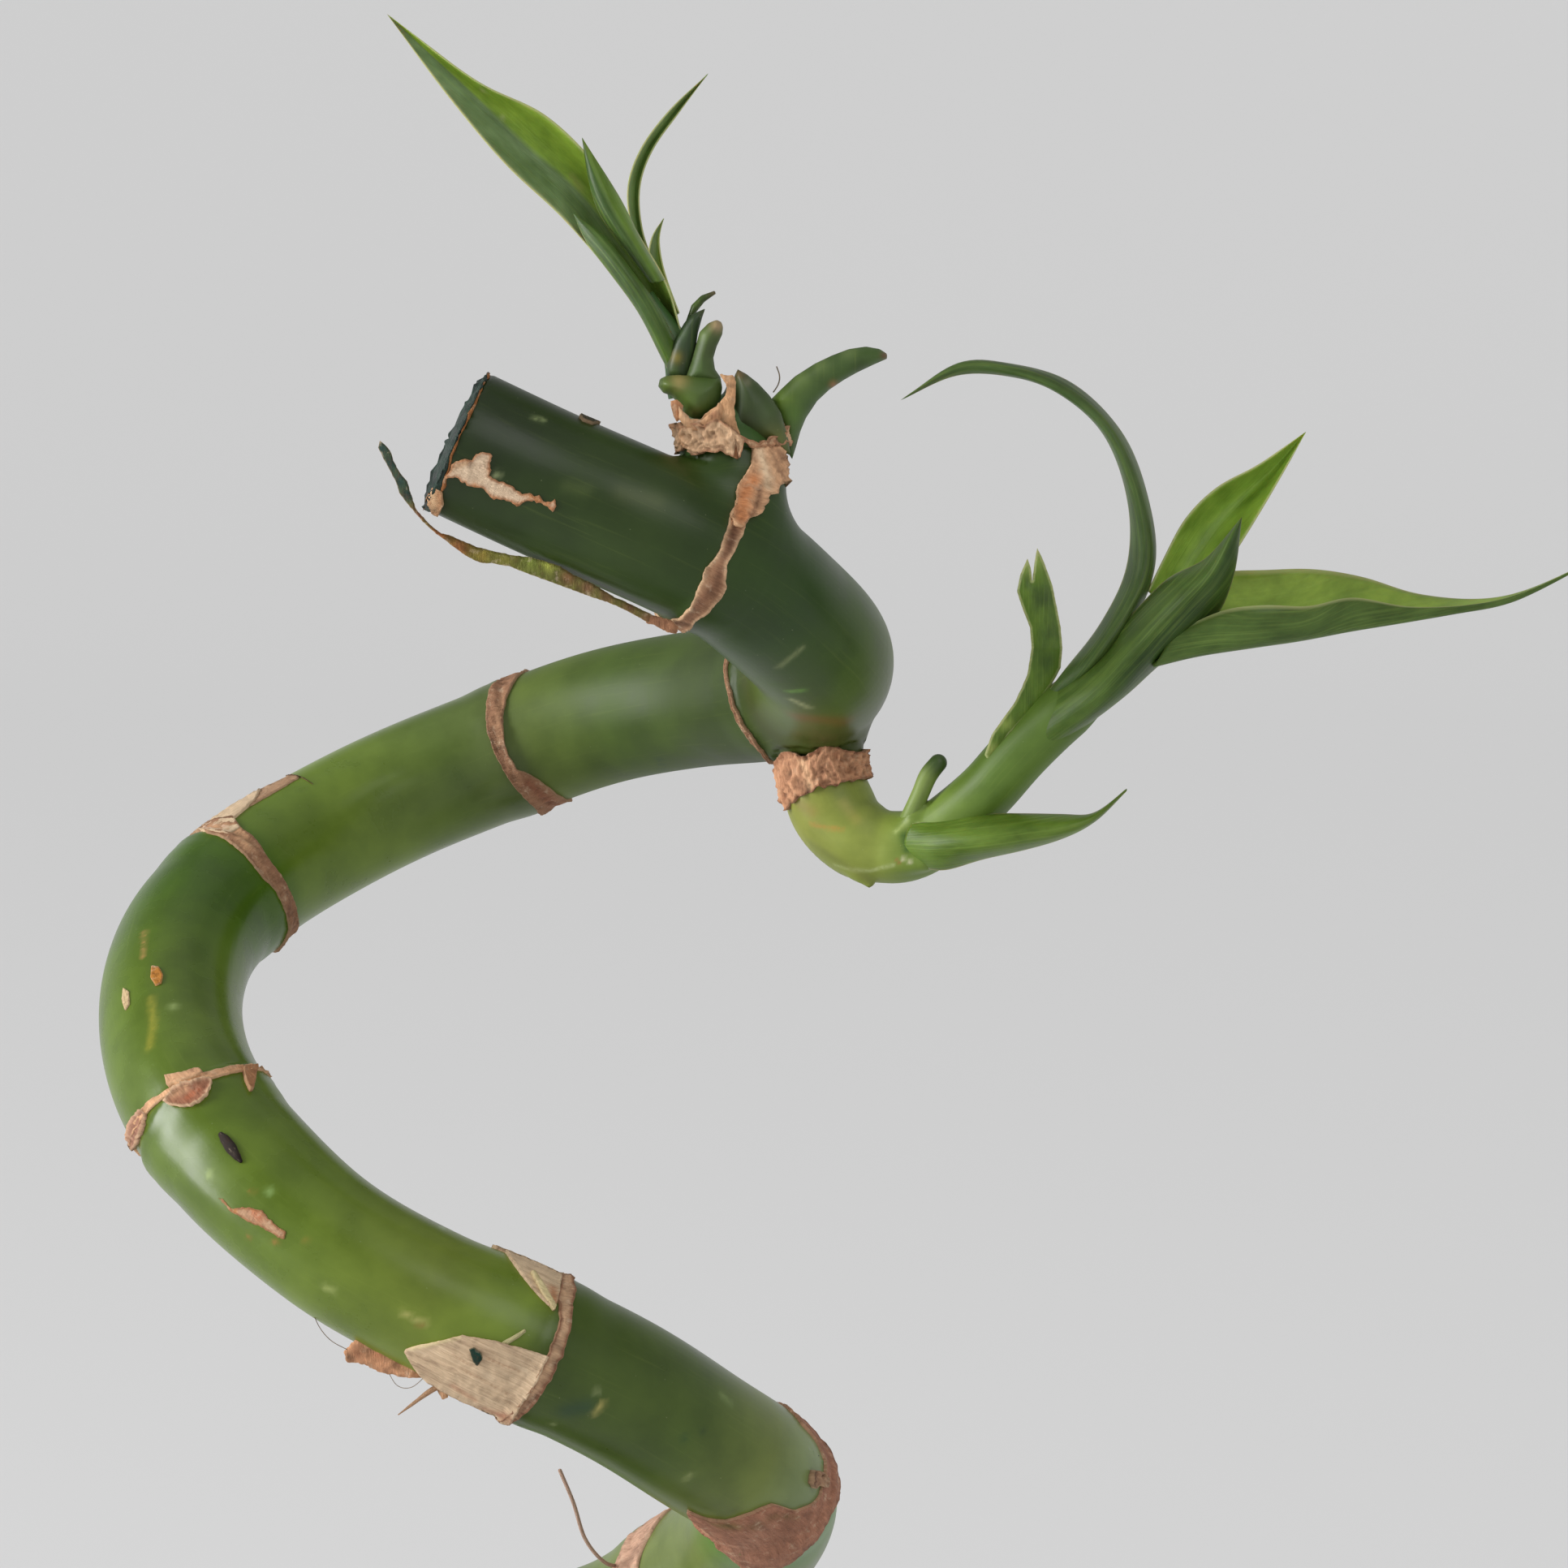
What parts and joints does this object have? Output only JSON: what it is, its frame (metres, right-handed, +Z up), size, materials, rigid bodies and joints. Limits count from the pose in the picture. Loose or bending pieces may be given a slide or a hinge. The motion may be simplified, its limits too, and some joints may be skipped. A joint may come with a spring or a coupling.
{
  "type": "lucky bamboo in a vase",
  "caption": "Spiral lucky bamboo cane with leafy side shoots, papery sheath rings and a waxed cut top, standing in a plain vase filled with pebbles.",
  "frame": {"origin": "middle of the vase's foot, on the surface that it stands on", "axes": "+Z up, -Y towards the viewer, +X to the viewer's right, towards the long leaf of the lower shoot"},
  "size_m": [0.1585, 0.0815, 0.3405],
  "materials": {
    "vase_glaze": "glazed off-white ceramic, faint speckle",
    "pebbles": "smooth river pebbles in greys and browns, satin",
    "cane_skin": "living green stem skin, satin, mottled from dark to yellow-green",
    "wax": "dark teal sealing wax, soft gloss",
    "shoot_green": "young green stem skin, satin",
    "dry_sheath": "dried papery leaf sheath, matte, fibrous",
    "leaf": "leathery green leaf, satin, fine parallel veins",
    "dried_leaf": "dried brown leaf strip, matte"
  },
  "bodies": {
    "root": {"vase": "vase_glaze", "pebble_bed": "pebbles", "cane": "cane_skin", "wax_seal": "wax", "upper_shoot": "shoot_green", "lower_shoot": "shoot_green", "sheath_ring_01": "dry_sheath", "sheath_ring_02": "dry_sheath", "sheath_ring_03": "dry_sheath", "sheath_ring_04": "dry_sheath", "sheath_ring_05": "dry_sheath", "sheath_ring_06": "dry_sheath", "sheath_ring_07": "dry_sheath", "sheath_ring_08": "dry_sheath", "sheath_ring_09": "dry_sheath", "sheath_ring_10": "dry_sheath", "sheath_ring_11": "dry_sheath", "sheath_ring_12": "dry_sheath", "upper_leaf_spear": "leaf", "upper_leaf_outer": "leaf", "upper_leaf_inner": "leaf", "upper_leaf_arched": "leaf", "upper_leaf_tongue": "leaf", "upper_leaf_horn": "leaf", "lower_leaf_clasping": "leaf", "lower_leaf_long": "leaf", "lower_leaf_upright": "leaf", "lower_leaf_curled": "leaf", "lower_leaf_small": "leaf", "lower_leaf_low": "leaf", "upper_collar": "dry_sheath", "lower_collar": "dry_sheath", "dried_strip": "dried_leaf"}
  },
  "joints": []
}
